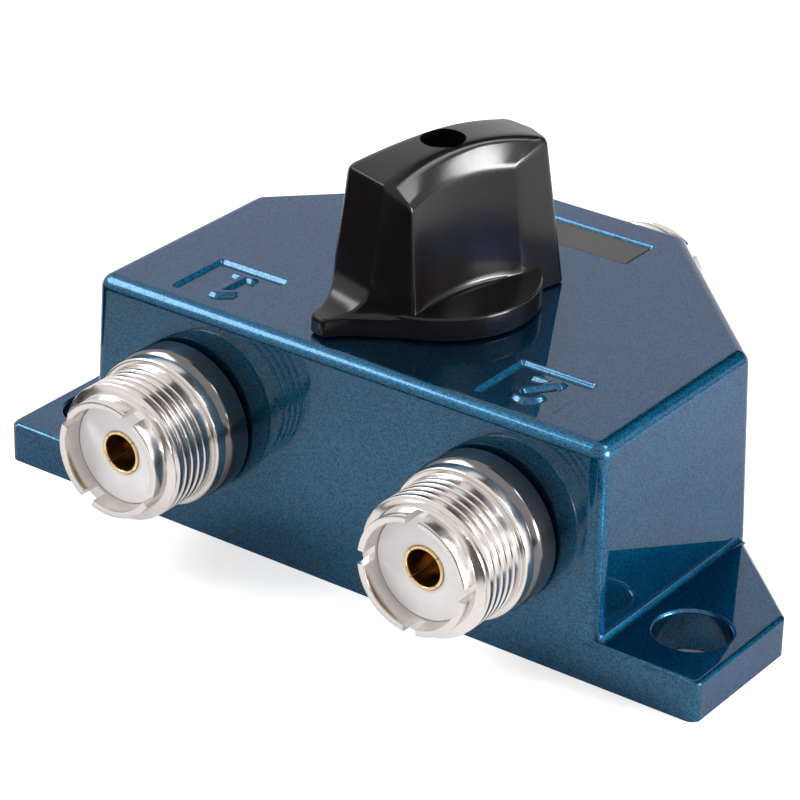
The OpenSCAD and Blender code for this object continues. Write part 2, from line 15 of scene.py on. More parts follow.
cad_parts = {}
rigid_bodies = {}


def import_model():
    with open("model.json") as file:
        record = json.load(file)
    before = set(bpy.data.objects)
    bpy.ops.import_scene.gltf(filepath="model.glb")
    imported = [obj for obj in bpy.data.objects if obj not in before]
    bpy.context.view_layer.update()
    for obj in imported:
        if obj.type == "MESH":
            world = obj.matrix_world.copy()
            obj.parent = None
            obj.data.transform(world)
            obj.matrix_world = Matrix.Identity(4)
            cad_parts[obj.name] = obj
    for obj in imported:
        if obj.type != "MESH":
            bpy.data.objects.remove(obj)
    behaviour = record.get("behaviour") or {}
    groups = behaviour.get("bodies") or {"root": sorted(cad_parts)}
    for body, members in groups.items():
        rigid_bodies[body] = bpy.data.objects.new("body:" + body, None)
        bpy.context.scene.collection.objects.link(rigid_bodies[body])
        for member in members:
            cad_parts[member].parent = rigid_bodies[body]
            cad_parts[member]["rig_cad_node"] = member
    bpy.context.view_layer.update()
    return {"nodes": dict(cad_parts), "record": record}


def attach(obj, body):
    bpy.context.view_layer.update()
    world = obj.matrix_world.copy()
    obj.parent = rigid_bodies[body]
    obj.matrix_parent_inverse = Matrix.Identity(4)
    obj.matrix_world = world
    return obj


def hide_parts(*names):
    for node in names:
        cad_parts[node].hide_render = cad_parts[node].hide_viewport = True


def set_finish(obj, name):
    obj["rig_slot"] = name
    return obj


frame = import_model()
nodes = frame["nodes"]
mounts = {mount["name"]: mount for mount in frame["record"]["mounts"]}
scene = bpy.context.scene
MM = 0.001


def coordinates(mesh):
    """A mesh's vertices as one array of points, in millimetres."""
    flat = np.empty(len(mesh.vertices) * 3)
    mesh.vertices.foreach_get("co", flat)
    return flat.reshape(-1, 3) / MM


def node_box(name):
    """Lowest and highest corner of a CAD node, in millimetres."""
    points = coordinates(nodes[name].data)
    return points.min(axis=0).round(3), points.max(axis=0).round(3)


print("CAD nodes:", len(nodes), "mounts:", len(mounts))

# %% [markdown]
# ## Camera
# The camera stands where the photograph's did: to the right of the switch, a good way
# above it, with a long lens. Its frame is built from three arrows, so that the small
# roll of the photograph is one rotation of the right and up arrows.

# %% Camera
camera_at = Vector((193.84, -275.79, 187.00)) * MM
looks_at = Vector((-6.574, 2.25, 11.548)) * MM
roll = math.radians(1.154)
ahead = (looks_at - camera_at).normalized()
level = ahead.cross(Vector((0, 0, 1))).normalized()
upright = level.cross(ahead)
right = level * math.cos(roll) + upright * math.sin(roll)
up = upright * math.cos(roll) - level * math.sin(roll)
lens = bpy.data.cameras.new("camera")
lens.lens = 154.81
lens.sensor_width = 36
lens.clip_start, lens.clip_end = 0.01, 20
camera = bpy.data.objects.new("camera", lens)
camera.matrix_world = Matrix.Translation(camera_at) @ Matrix(
    (right, up, -ahead)).transposed().to_4x4()
scene.collection.objects.link(camera)
scene.camera = camera
print("camera to object:", round((looks_at - camera_at).length, 4))

# %% [markdown]
# ## Shader maths
# A finish is a small network of nodes. So that it reads like algebra, a class wraps an
# output socket and turns sums and products into Math nodes. Every other node comes from
# one method, which takes its type, its settings and what goes into its sockets.

# %% Wires


class Wire:
    """An output socket that can be used in sums, which add Math nodes behind it."""

    def __init__(self, socket):
        self.socket = socket

    def math(self, operation, *terms):
        node = self.socket.id_data.nodes.new("ShaderNodeMath")
        node.operation = operation
        for place, term in zip(node.inputs, terms):
            plug(place, term)
        return Wire(node.outputs[0])

    def __add__(self, other):
        return self.math("ADD", self, other)

    def __radd__(self, other):
        return self.math("ADD", other, self)

    def __sub__(self, other):
        return self.math("SUBTRACT", self, other)

    def __rsub__(self, other):
        return self.math("SUBTRACT", other, self)

    def __mul__(self, other):
        return self.math("MULTIPLY", self, other)

    def __rmul__(self, other):
        return self.math("MULTIPLY", other, self)

    def __or__(self, other):
        return self.math("MAXIMUM", self, other)

    def step(self, low, high):
        """0 below low and 1 above high, straight in between."""
        part = (self - low) * (1 / (high - low))
        return part.math("MINIMUM", part | 0, 1)


def plug(socket, value):
    """Links a wire into a socket, or sets the socket to a plain value."""
    if isinstance(value, Wire):
        socket.id_data.links.new(value.socket, socket)
    else:
        socket.default_value = value


# %% [markdown]
# A network wraps a node tree in the same way. Its one method makes a node, sets it up
# and fills its sockets, so that a finish can be read as a list of what it is made of.

# %% Networks


class Network:
    """The nodes of one tree. Each is made by the same method."""

    def __init__(self, tree):
        self.tree = tree
        tree.nodes.clear()

    def node(self, kind, sockets=None, output=0, **settings):
        node = self.tree.nodes.new(kind)
        for key, value in settings.items():
            setattr(node, key, value)
        for key, value in (sockets or {}).items():
            plug(node.inputs[key], value)
        return Wire(node.outputs[output])

    def rays(self, kind):
        """1 for rays of that kind, such as Camera, and 0 for all others."""
        return self.node("ShaderNodeLightPath", output=f"Is {kind} Ray")

    def finish(self, shader, kind="ShaderNodeOutputMaterial"):
        plug(self.tree.nodes.new(kind).inputs["Surface"], shader)


# %% [markdown]
# ## World
# Bright plating and glossy paint show the room they stand in, so the room matters more
# than the lamps. It could be a picture of a studio. Here it is plain white for the
# camera and for mirror rays, and a soft grey for the light that it sheds, because then
# the background is white without any more light on the object.

# %% World
scene.view_settings.view_transform = "Standard"
room_grey = 0.45
world = bpy.data.worlds.new("white room")
scene.world = world
world.use_nodes = True
room = Network(world.node_tree)
soft = room.node("ShaderNodeBackground", {"Color": (room_grey,) * 3 + (1,)})
white = room.node("ShaderNodeBackground", {"Color": (1, 1, 1, 1)})
direct = room.rays("Camera") | room.rays("Glossy") | room.rays("Transmission")
room.finish(room.node("ShaderNodeMixShader", {0: direct, 1: soft, 2: white}),
            "ShaderNodeOutputWorld")
print("room light:", room_grey, "from", len(room.tree.nodes), "nodes")

# %% [markdown]
# ## Lamps
# Three softboxes are enough. The key hangs high at the right and behind, and gives the
# shadow. The side lamp stands low at the right, where the knob's bevel mirrors it into
# the lens as one long highlight. The fill at the left catches the pointer. Each is given
# by its direction and by how bright its surface looks, so that its power follows its
# size.

# %% Lamps
middle_h = 20


def softbox(name, direction, size, brightness, distance=0.6):
    """A rectangular lamp, in metres. Its power is pi times area times brightness."""
    lamp = bpy.data.lights.new(name, "AREA")
    lamp.shape = "RECTANGLE"
    lamp.size, lamp.size_y = size
    lamp.energy = math.pi * size[0] * size[1] * brightness
    holder = bpy.data.objects.new(name, lamp)
    middle = Vector((0, 0, middle_h * MM))
    holder.location = middle + Vector(direction).normalized() * distance
    holder.rotation_mode = "QUATERNION"
    holder.rotation_quaternion = (middle - holder.location).to_track_quat("-Z", "Y")
    scene.collection.objects.link(holder)
    print(f"lamp {name}: {lamp.energy:.2f} W")


softbox("key", (0.54, 0.46, 0.71), (0.26, 0.22), 9)
softbox("side", (0.96, 0.21, 0.14), (0.23, 0.16), 38)
softbox("fill", (-0.68, -0.36, 0.64), (0.34, 0.26), 8)

# %% [markdown]
# ## Cards
# A white room alone makes plating look like white paint. As in a studio, black cards
# give it dark parts: one lies in front, one at the left, and one hangs high at the back,
# where the top of the knob mirrors it. A small rust-coloured one warms the right wall.
# Only mirror rays see them, so they throw no shadow.

# %% Cards
felt_black, rust = (0.02, 0.02, 0.02, 1), (0.45, 0.16, 0.08, 1)


def card(name, corners, colour=felt_black):
    """A card with those corners, in millimetres, that only reflections show."""
    mesh = bpy.data.meshes.new(name)
    mesh.from_pydata([Vector(c) * MM for c in corners], [], [range(len(corners))])
    board = bpy.data.objects.new(name, mesh)
    scene.collection.objects.link(board)
    material = bpy.data.materials.new(name)
    material.use_nodes = True
    felt = Network(material.node_tree)
    felt.finish(felt.node("ShaderNodeBsdfDiffuse", {"Color": colour}))
    mesh.materials.append(material)
    board.visible_camera = board.visible_diffuse = board.visible_shadow = False


def lying_card(name, outline, lift=0.5):
    """A card just above the floor, from the corners of its outline."""
    card(name, [(x, y, lift) for x, y in outline])


def hung_card(name, direction, size, colour=felt_black, distance=400):
    """A card that faces the object from a direction, with its size in millimetres."""
    toward = Vector(direction)
    middle = toward.normalized() * distance + Vector((0, 0, middle_h))
    across = Vector((0, 0, 1)).cross(toward).normalized() * size[0] / 2
    rise = toward.cross(across).normalized() * size[1] / 2
    card(name, [middle - across - rise, middle + across - rise,
                middle + across + rise, middle - across + rise], colour)


lying_card("card_front", [(-70, -92), (-70, -400), (420, -400), (420, -62), (12, -62),
                          (12, -92)])
lying_card("card_left", [(-72, -20), (-400, -20), (-400, -400), (-72, -400)])
hung_card("card_back", (0.24, 0.72, 0.69), (300, 460))
hung_card("card_warm", (0.66, 0.72, 0.03), (90, 50), rust)
print("cards: 2 lying, 2 hung")

# %% [markdown]
# ## Floor
# The floor is white paper that takes the object's shadow. A glow that only camera rays
# see lifts it to the white of the room, and a weaker one is there for mirror rays. The
# glow stops under the two ear holes, because the real holes look down on the shaded
# floor. Its mask is the distance to each hole's axis, turned into a soft step.

# %% Floor
ear_holes = mounts["ear_holes"]
ear_hole_x = ear_holes["dims"]["spacing_x_mm"] / 2 * MM
ear_hole_r = ear_holes["dims"]["hole_r_mm"] * MM
camera_glow, mirror_glow = 0.6, 0.15
bpy.ops.mesh.primitive_plane_add(size=4)
floor = bpy.context.object
floor.name = "floor"
paper = bpy.data.materials.new("white paper")
paper.use_nodes = True
sheet = Network(paper.node_tree)
dull = sheet.node("ShaderNodeBsdfDiffuse", {"Color": (0.8, 0.8, 0.8, 1)})
place = sheet.node("ShaderNodeTexCoord", output="Object")
clear = 1.0
for x in (-ear_hole_x, ear_hole_x):
    axis_at = (x, ear_holes["pos_m"][1], 0)
    away = sheet.node("ShaderNodeVectorMath", {0: place, 1: axis_at}, output=1,
                      operation="DISTANCE")
    clear = clear * away.step(ear_hole_r, ear_hole_r + 0.4 * MM)
mirrored = sheet.rays("Glossy") | sheet.rays("Transmission")
glow = sheet.node("ShaderNodeEmission", {
    "Strength": sheet.rays("Camera") * clear * camera_glow + mirrored * mirror_glow})
sheet.finish(sheet.node("ShaderNodeAddShader", {0: dull, 1: glow}))
floor.data.materials.append(paper)
print("floor glow: camera", camera_glow, "mirrors", mirror_glow)

# %% [markdown]
# ## Helpers for surfaces
# Every new piece is a grid of points: rows run along a profile and columns run round
# it. The arrays are worked out whole with numpy and handed to the mesh in one go.
# Doubles are merged afterwards, which closes seams and poles, and the faces are then
# turned outwards.

# %% Grids into pieces
double, sliver = 2e-7, 1e-8


def grid_faces(rows, columns, start=0, closed=True):
    """Corner numbers of the quads of a grid whose columns may close round."""
    r = np.arange(rows - 1)[:, None]
    c = np.arange(columns if closed else columns - 1)[None, :]
    d = (c + 1) % columns
    quads = np.stack([r * columns + c, r * columns + d,
                      (r + 1) * columns + d, (r + 1) * columns + c], axis=-1)
    return quads.reshape(-1, 4) + start


def make_piece(name, grids, body=None, stands_for=(), slot=None, sharp=35, closed=True):
    """One mesh from several grids of points in millimetres, riding on a body."""
    points, faces, start = [], [], 0
    for grid in grids:
        rows, columns = grid.shape[:2]
        faces.append(grid_faces(rows, columns, start, closed))
        points.append(grid.reshape(-1, 3))
        start += rows * columns
    mesh = bpy.data.meshes.new(name)
    mesh.from_pydata((np.concatenate(points) * MM).tolist(), [],
                     np.concatenate(faces).tolist())
    return finish_mesh(name, mesh, body, stands_for, slot, sharp)


def finish_mesh(name, mesh, body=None, stands_for=(), slot=None, sharp=35):
    """Merges doubles, turns faces outwards, smooths all but sharp edges."""
    work = bmesh.new()
    work.from_mesh(mesh)
    bmesh.ops.remove_doubles(work, verts=work.verts, dist=double)
    bmesh.ops.dissolve_degenerate(work, edges=work.edges, dist=sliver)
    bmesh.ops.recalc_face_normals(work, faces=work.faces)
    for face in work.faces:
        face.smooth = True
    work.to_mesh(mesh)
    loose = sum(1 for e in work.edges if not e.is_manifold)
    volume = work.calc_volume() / MM ** 3
    work.free()
    mesh.set_sharp_from_angle(angle=math.radians(sharp))
    piece = bpy.data.objects.new(name, mesh)
    scene.collection.objects.link(piece)
    if body:
        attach(piece, body)
        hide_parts(*stands_for)
        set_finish(piece, slot)
    print(f"{name}: {len(mesh.polygons)} faces, {volume:.1f} mm3, {loose} open edges")
    return piece


print("a closed grid of 3 rows by 4 columns has", len(grid_faces(3, 4)), "faces")

# %% [markdown]
# A lathe turns a profile round an axis, as most of these pieces are turned. Corners are
# rounded with short curves, because no moulded or turned edge is a knife's. Holes are
# cut with booleans, one after another.

# %% Curves, lathe and cuts


def bend(before, corner, after, reach, steps):
    """Rounds a corner: a curve from a point that far before it to one after it.

    The curve is (1-t)^2 a + 2t(1-t) corner + t^2 b, and reach never takes more than
    45 hundredths of either side. All arguments may be whole arrays of points.
    """
    def partway(other):
        arm = other - corner
        size = np.linalg.norm(arm, axis=-1, keepdims=True)
        part = np.minimum(np.asarray(reach)[..., None] / np.maximum(size, 1e-9), 0.45)
        return corner + arm * part
    a, b = partway(before), partway(after)
    t = np.linspace(0, 1, steps).reshape((steps,) + (1,) * a.ndim)
    return (1 - t) ** 2 * a + 2 * t * (1 - t) * corner + t ** 2 * b


def soften(profile, reach, steps=4):
    """Rounds every inner corner of a profile; reach is one size or one per corner."""
    p = np.asarray(profile, float)
    reach = np.broadcast_to(reach, len(p) - 2)
    arcs = bend(p[:-2], p[1:-1], p[2:], reach, steps)
    return np.concatenate([p[:1], arcs.transpose(1, 0, 2).reshape(-1, 2), p[-1:]])


def lathe(profile, columns=96):
    """Turns a profile of (radius, height) points round Z into a grid of points."""
    profile = np.asarray(profile, float)
    a = np.linspace(0, 2 * math.pi, columns, endpoint=False)[None, :]
    r, z = profile[:, :1], profile[:, 1:]
    return np.stack([r * np.cos(a), r * np.sin(a), z + 0 * a], axis=-1)


def turned(points, turn):
    """Turns points round Z: x goes to x cos - y sin, and y to x sin + y cos."""
    c, s = math.cos(turn), math.sin(turn)
    return points @ np.array([[c, s, 0], [-s, c, 0], [0, 0, 1]])


def combine(piece, operation, tool):
    """Joins a tool to a piece or cuts it out, with an exact boolean."""
    change = piece.modifiers.new("change", "BOOLEAN")
    change.operation, change.object, change.solver = operation, tool, "EXACT"
    shape = bpy.data.meshes.new_from_object(
        piece.evaluated_get(bpy.context.evaluated_depsgraph_get()))
    piece.modifiers.clear()
    piece.data = shape
    bpy.data.objects.remove(tool)


def carve(piece, *tools):
    """Takes each tool's volume out of a piece, and leaves only the piece's mesh."""
    for tool in tools:
        combine(piece, "DIFFERENCE", tool)
    mesh = piece.data
    bpy.data.objects.remove(piece)
    return mesh


print("a softened corner has", len(soften([(0, 0), (1, 0), (1, 1)], 0.2)), "points")

# %% [markdown]
# ## Knob
# A phenolic pointer knob: a round skirt, a waisted grip with an arched top, and a front
# face that bends out into the pointer. It could be sculpted, but a moulding follows few
# simple curves, and these are easier to match to the photograph as formulas. Knob
# coordinates are u along the pointer, v across it and h above the housing.

# %% Knob curves
knob_z, knob_turn = node_box("knob")[0][2], math.radians(-107)
crease_u, skirt_r, skirt_top, bevel_low = 8.4, 11.2, 2.65, 15.5
bend_u, bend_h, tip_h, tip_u, tip_v = 11.6, 6.4, 2.1, 16.4, 1.0
arch_r, arch_u, arch_top = 35, 1.3, 18.65


def foot_v(u):
    """Half width at the foot: a parabola, narrowest just behind the middle."""
    return 4.15 + 0.024 * (u + 2) ** 2


def side_v(u):
    """Half width along the bevel's lower edge: a slightly flatter parabola."""
    return 3.85 + 0.019 * (u + 1.7) ** 2


def top_v(u):
    """Half width along the top's edge: nearly straight."""
    return 2.8 + 0.0045 * (u + 1.5) ** 2


def side_h(u):
    """Height of the bevel's lower edge: a flat parabola that falls to both ends."""
    return bevel_low - 0.008 * (u + 1.7) ** 2


def arch_h(u):
    """Height of the top: an arc of radius arch_r, highest just behind the middle."""
    return arch_top - arch_r + np.sqrt(arch_r ** 2 - (u + arch_u) ** 2)


def swell(h):
    """Fillet of the grip on the skirt: a quarter circle of 0.8 mm, flattened."""
    x = np.clip(1 - (h - skirt_top) / 0.8, 0, 1)
    return 0.35 * (1 - np.sqrt(1 - np.minimum(x, 0.999) ** 2))


def flank_v(u):
    """Half width of the pointer in plan: a hollow curve from the tip to the crease."""
    s = (tip_u - u) / (tip_u - crease_u)
    return tip_v + 5.6 * s - 3.76 * s * (1 - s)


def waist_v(u, h):
    """Half width of the side: straight from foot to bevel, with the fillet added."""
    part = (h - skirt_top) / (bevel_low - skirt_top)
    fade = np.clip((u + 7.5) / 4, 0, 1) * np.clip((crease_u - u) / 3, 0, 1)
    return foot_v(u) + (side_v(u) - foot_v(u)) * part + swell(h) * fade


print("half widths at the middle:", foot_v(0), side_v(0), top_v(0))

# %% [markdown]
# The grip is made of level rings. Each ring runs along the tip's edge, the front crease,
# the waisted side, the rear crease and the back corner. First comes the front line that
# the rings start from: a small nose, and then one curve that leans back from the tip to
# the bend and stands up.

# %% Front line of the knob
nose_u = [16.38, 16.46, 16.45, 16.42, 16.36, 16.25, 16.12]
nose_h = [0, 0.12, 1.0, 1.7, 1.93, 2.05, 2.09]
nose_v = [1.0, 1.05, 1.03, 1.0, 1.0, 1.02, 1.05]
t = np.linspace(1, 0, 40)[1:]
ramp_u = (1 - t) ** 2 * bend_u + 2 * t * (1 - t) * (bend_u + 0.4) + t ** 2 * 16.1
ramp_h = (1 - t) ** 2 * (bend_h - tip_h) + tip_h
front_u = np.concatenate([nose_u, ramp_u])
front_h = np.concatenate([nose_h, ramp_h])
front_v = np.concatenate([nose_v, flank_v(ramp_u)])
print("front line:", len(front_u), "points, up to", round(front_h.max(), 2), "mm")

# %% [markdown]
# A ring is given by its corners and by the lines between them. The pointer's flank is
# hollow near the tip, and fades into a straight line towards the crease. Every corner is
# a short curve, so that light runs round it as on a moulding.

# %% Rings of the grip


def point(u, v, h):
    """Broadcasts three numbers or arrays to points."""
    return np.stack(np.broadcast_arrays(u, v, h), axis=-1).astype(float)


def half_ring(tip, flank, side, crease2, back, middle, reach):
    """Columns of half a ring for every row, from the front's centre to the back's.

    The corners are rounded curves, and the flank and the side between them are given.
    """
    nose = tip * [1, 0, 1]
    parts = [nose + (tip - nose) * f for f in (0, 0.35)]
    parts += list(bend(nose, tip, flank[0], reach[0], 7))
    parts += list(flank)
    parts += list(bend(flank[-1], side[0], side[1], reach[1], 7))
    parts += list(side[2:-2])
    parts += list(bend(side[-2], crease2, back, reach[2], 7))
    parts += list(bend(crease2, back, middle, reach[3], 7))
    parts += [back + (middle - back) * f for f in (0.47, 0.7, 1)]
    return np.stack(parts, axis=-2)


share = np.array([0.25, 0.4, 0.55, 0.7])[:, None]
side_columns = 26


def lower_rows():
    """Rows from the foot to the bend: the flank follows the plan's hollow curve."""
    h = front_h
    tail = -7.85 + 1.25 * h / bevel_low
    u = crease_u + (tail[:, None] - crease_u) * np.linspace(0, 1, side_columns)
    side = point(u, waist_v(u, h[:, None]), h[:, None]).transpose(1, 0, 2)
    back_u, back_v = -13.85 + 0.127 * h, 4.55 - 0.057 * h
    flank_u = front_u + (crease_u - front_u) * share
    on_line = front_v + (side[0][:, 1] - front_v) * share
    hollow_v = flank_v(flank_u) * (1 - share) + on_line * share
    return half_ring(
        point(front_u, front_v, h), point(flank_u, np.minimum(hollow_v, on_line), h),
        side, side[-1], point(back_u, back_v, h), point(back_u - 0.3, 0, h),
        (0.5 + 0 * h, 0.8 + 0 * h, 0.9 + 0 * h, 0.9 + 0 * h))


def edge_ring(ends, width, height, tip, back, middle, reach):
    """One ring along an edge: its width and height are curves of u."""
    u = np.linspace(*ends, side_columns)
    side, tip = point(u, width(u), height(u)), point(*tip)
    return half_ring(tip, tip + (side[0] - tip) * share, side, side[-1],
                     point(*back), point(*middle), reach)


print("lower rows:", lower_rows().shape[:2])

# %% [markdown]
# The bevel lies between two edges: a lower one on the sides and an upper one round the
# arched top. Both are rings too. The wall runs up to the lower edge in straight steps,
# each edge is rounded by a curve between the rings before and after it, and the last
# rows follow the arch inwards until they meet on the middle line.

# %% Bevel and top


def knob_rows():
    """Rows of the grip from the foot to the middle of the top."""
    rows = lower_rows()
    low = edge_ring((crease_u, -6.6), side_v, side_h, tip=(10.13, 3.12, 16.45),
                    back=(-11.68, 3.6, 16.75), middle=(-12.15, 0, 16.8),
                    reach=(0.5, 1.1, 0.9, 0.9))
    high = edge_ring((9.5, -9.6), top_v, arch_h, tip=(10.02, 3.02, arch_h(10.02)),
                     back=(-11.2, 3.2, arch_h(-11.2)), middle=(-12.1, 0, arch_h(-12.1)),
                     reach=(0.5, 0.9, 0.4, 1.6))
    centre = point(np.clip(high[:, 0], -8.5, 7), 0, 0)
    centre[:, 2] = arch_h(centre[:, 0])
    low_reach = np.interp(low[:, 0], (-11, 0, 9), (0.65, 0.6, 0.9))
    high_reach = np.interp(high[:, 0], (-11.5, -3, 3, 10), (0.9, 0.8, 1.2, 0.9))
    wall = [rows[-1] + (low - rows[-1]) * f for f in (0.2, 0.4, 0.6, 0.78, 0.87)]
    low_bend = list(bend(rows[-1], low, high, low_reach, 6))
    high_bend = list(bend(low, high, high + (centre - high) * 0.8, high_reach, 7))
    top = []
    for f in (0.45, 0.7, 0.9, 1.0):
        row = high_bend[-1] + (centre - high_bend[-1]) * f
        row[:, 2] = arch_h(row[:, 0])
        top.append(row)
    return np.concatenate([rows, np.stack(wall + low_bend + high_bend + top)])


half = knob_rows()
mirror = half[:, -2:0:-1] * [1, -1, 1]
grip = np.concatenate([half, mirror], axis=1)
grip = np.concatenate([grip[:1] * [1, 0, 1], grip])
print("grip:", grip.shape[0], "rows of", grip.shape[1], "points")

# %% [markdown]
# The skirt is turned on a lathe and joined to the grip. All that is hollow is one turned
# tool: the pocket under the skirt, the bore for the spindle, the web and the hole for
# the screw. One cut is safer than four, because each boolean adds small faces.

# %% Skirt and hollow
skirt = lathe(soften([(0, 0.02), (skirt_r, 0.02), (skirt_r - 0.04, skirt_top),
                      (0, skirt_top)], (0.12, 0.35), 7), 160)
pocket_r, pocket_end, bore_r, bore_end = 8, 1.9, 3.03, 11.2
screw_r, web_end, hole_r, below, above = 1.4, 12.7, 2.475, -1, 22
hollow = lathe([(0, below), (pocket_r, below), (pocket_r, pocket_end),
                (bore_r, pocket_end), (bore_r, bore_end), (screw_r, bore_end),
                (screw_r, web_end), (hole_r, web_end), (hole_r, above), (0, above)], 72)


def knob_part(name, grid):
    """A part in knob coordinates, turned to port 1 and set on the housing."""
    return make_piece(name, [turned(grid, knob_turn) + [0, 0, knob_z]])


blank = knob_part("grip", grip)
combine(blank, "UNION", knob_part("skirt", skirt))
finish_mesh("pointer_knob", carve(blank, knob_part("hollow", hollow)), "rotor",
            ["knob"], "knob_black", 28)

# %% [markdown]
# ## Sockets
# Each UHF socket is a turned shell with a 5/8-24 thread, a black ring against the wall,
# a white insulator and a split gold contact. A screw thread is one ridge that climbs by
# a pitch for each turn, so the rows of the grid climb in the same way, and both ends of
# the thread run out where the rows are held back by the plain band and by the cone. The
# four notches are made by letting the rim's height depend on the angle.

# %% Columns of a shell
pitch, crest_r, root_r = 1.058, 7.85, 7.4
neck_r, mouth_r, socket_l, notch_l = 6.72, 5.9, 13.25, 1.95
band_end, cone_start, cone_end = 5.95, 10.8, socket_l - notch_l
barrel_end, notch_half, notch_r = -6, 0.75, 6.3

# Packed close at each notch edge, even on the lands between them
edge = math.asin(notch_half / notch_r)
quarter_turn = math.pi / 2
land = np.linspace(edge + 0.05, quarter_turn - edge - 0.05, 27)
near = np.array([0.005, 0.025])
quarter = np.concatenate([
    [0, edge * 0.6, edge], edge + near, land, quarter_turn - edge - near[::-1],
    [quarter_turn - edge, quarter_turn - edge * 0.6]])
column = (np.arange(4)[:, None] * quarter_turn + quarter).ravel()
column = np.append(column, 2 * math.pi)
off = (column + math.pi / 4) % quarter_turn - math.pi / 4
in_notch = np.abs(off) < edge + 0.001
hold = np.sign(off) * np.interp(np.abs(off), (0, edge, edge + 0.03, math.pi / 4),
                                (0, 1, 1, 0))
print("columns:", len(column), "of which in a notch:", int(in_notch.sum()))

# %% [markdown]
# Now the rows. The barrel and its collar are level. The thread's rows climb, and are cut
# off where they would leave the space between band and cone. The rim follows the
# notches and leads back into the bore, which makes one closed skin.

# %% Thread and rim


def ring_of_points(r, z):
    """Rows at radius r and height z, which may differ by column.

    Near a notch a column's angle depends on its radius, so that the notch's two sides
    are parallel: it grows by asin(half width / r) - asin(half width / notch_r).
    """
    r, z = np.broadcast_arrays(np.asarray(r, float), np.asarray(z, float), column)[:2]
    a = column + hold * (np.arcsin(notch_half / np.maximum(r, 1)) - edge)
    return np.stack([r * np.cos(a), r * np.sin(a), z], axis=-1)


def ridge(s):
    """Radius of the thread at s turns: flat crest at 0, straight sides, flat root."""
    away = np.abs((s + 0.5) % 1 - 0.5)
    return np.interp(away, (0.22, 0.27, 0.40, 0.44),
                     (crest_r, crest_r - 0.05, root_r + 0.05, root_r))


def thread_rows():
    """Rows of the thread, seven turns with thirteen marks on each.

    A point's height is z0 + pitch (s + angle / 2 pi), held between the band and the
    cone. Its radius is the ridge's, at most the cone's, and at least that of the slope
    where the band ends.
    """
    marks = (-0.11, 0, 0.11, 0.22, 0.27, 0.33, 0.4, 0.44, 0.56, 0.6, 0.67, 0.73, 0.78)
    s = (np.arange(-1, 6)[:, None] + np.array(marks)).reshape(-1, 1)
    z = np.clip(band_end + pitch * (s + column / (2 * math.pi)), band_end, cone_end)
    cone = np.interp(z, (cone_start, cone_start + 0.1, cone_end - 0.05, cone_end),
                     (crest_r, crest_r - 0.05, neck_r + 0.05, neck_r))
    r = np.minimum(ridge(s + 0 * column), cone)
    r = np.maximum(r, crest_r - 1.4 * (z - band_end))
    return [ring_of_points(a, b) for a, b in zip(r, z)]


def rim_rows():
    """Rows over the notched rim and back down the bore to the barrel's end.

    Each is a radius, its share of the rim's height over the notch's floor, and how far
    it stays below the rim's top. A share under 0 is that many millimetres down the bore.
    """
    rim = np.where(in_notch, cone_end, socket_l)
    over = [(neck_r, 0, 0), (neck_r, 0.5, 0), (neck_r, 1, 0.12),
            (neck_r - 0.04, 1, 0.035), (neck_r - 0.13, 1, 0), (mouth_r + 0.13, 1, 0),
            (mouth_r + 0.04, 1, 0.035), (mouth_r, 1, 0.12), (mouth_r, 0, 0),
            (mouth_r, -3, 0)]
    rows = []
    for radius, part, below in over:
        top = cone_end + (rim - cone_end) * max(part, 0) + min(part, 0)
        rows.append(ring_of_points(radius, top - below * ~in_notch))
    return rows + [ring_of_points(mouth_r, barrel_end)]


barrel = soften([(mouth_r, barrel_end), (6, barrel_end), (6, 3.5), (8.5, 3.5), (8.5, 5),
                 (crest_r, 5), (crest_r, band_end)], (0.04, 0.05, 0.2, 0.3, 0.1), 5)
shell = np.stack([ring_of_points(r, z) for r, z in barrel] + thread_rows()
                 + rim_rows())
print("shell:", shell.shape[0], "rows of", shell.shape[1], "points")

# %% [markdown]
# The other parts of a socket are plain turnings. A profile goes once round the section,
# starts and ends at the same place or on the axis, and has its corners rounded. The
# contact is cut afterwards: two crossed saw cuts make four fingers, and a wide slot in
# the pin takes the contact strip.

# %% Ring, insulator and contact
ring_profile = soften([(7, 0.02), (8.75, 0.02), (8.75, 2.75), (8.1, 3.48), (6.06, 3.48),
                       (6.06, 0.02), (7, 0.02)], (0.15, 0.4, 0.4, 0.05, 0.05), 6)
insulator_profile = soften(
    [(4, -6), (5.88, -6), (5.88, 10.9), (2.48, 10.9), (2.48, -0.5), (1.63, -0.5),
     (1.63, -6), (4, -6)], (0.05, 0.12, 0.12, 0.05, 0.05, 0.05), 4)
contact_profile = soften(
    [(1, 2.1), (2.0, 2.1), (2.0, 10.75), (2.12, 11.1), (2.4, 11.1), (2.45, 10.9),
     (2.45, -0.45), (1.6, -0.45), (1.6, -10), (1, -10)],
    (0.1, 0.2, 0.12, 0.06, 0.1, 0.08, 0.05, 0.15), 5)
contact_profile = np.concatenate([[(0, 2.1)], contact_profile, [(0, -10)]])
saw_cut, saw_z, pin_slot, slot_z = (5.2, 0.1, 3.2), 9.7, (6, 0.64, 4.1), -8.95


def box_tool(size, centre, turn):
    """A block of that size, turned round Z and then moved to its centre."""
    corner = np.array([(x, y, z) for x in (-0.5, 0.5) for y in (-0.5, 0.5)
                       for z in (-0.5, 0.5)]) * size
    mesh = bpy.data.meshes.new("tool")
    mesh.from_pydata(((turned(corner, turn) + centre) * MM).tolist(), [],
                     [(0, 1, 3, 2), (4, 6, 7, 5), (0, 4, 5, 1), (2, 3, 7, 6),
                      (0, 2, 6, 4), (1, 5, 7, 3)])
    return finish_mesh("tool", mesh)


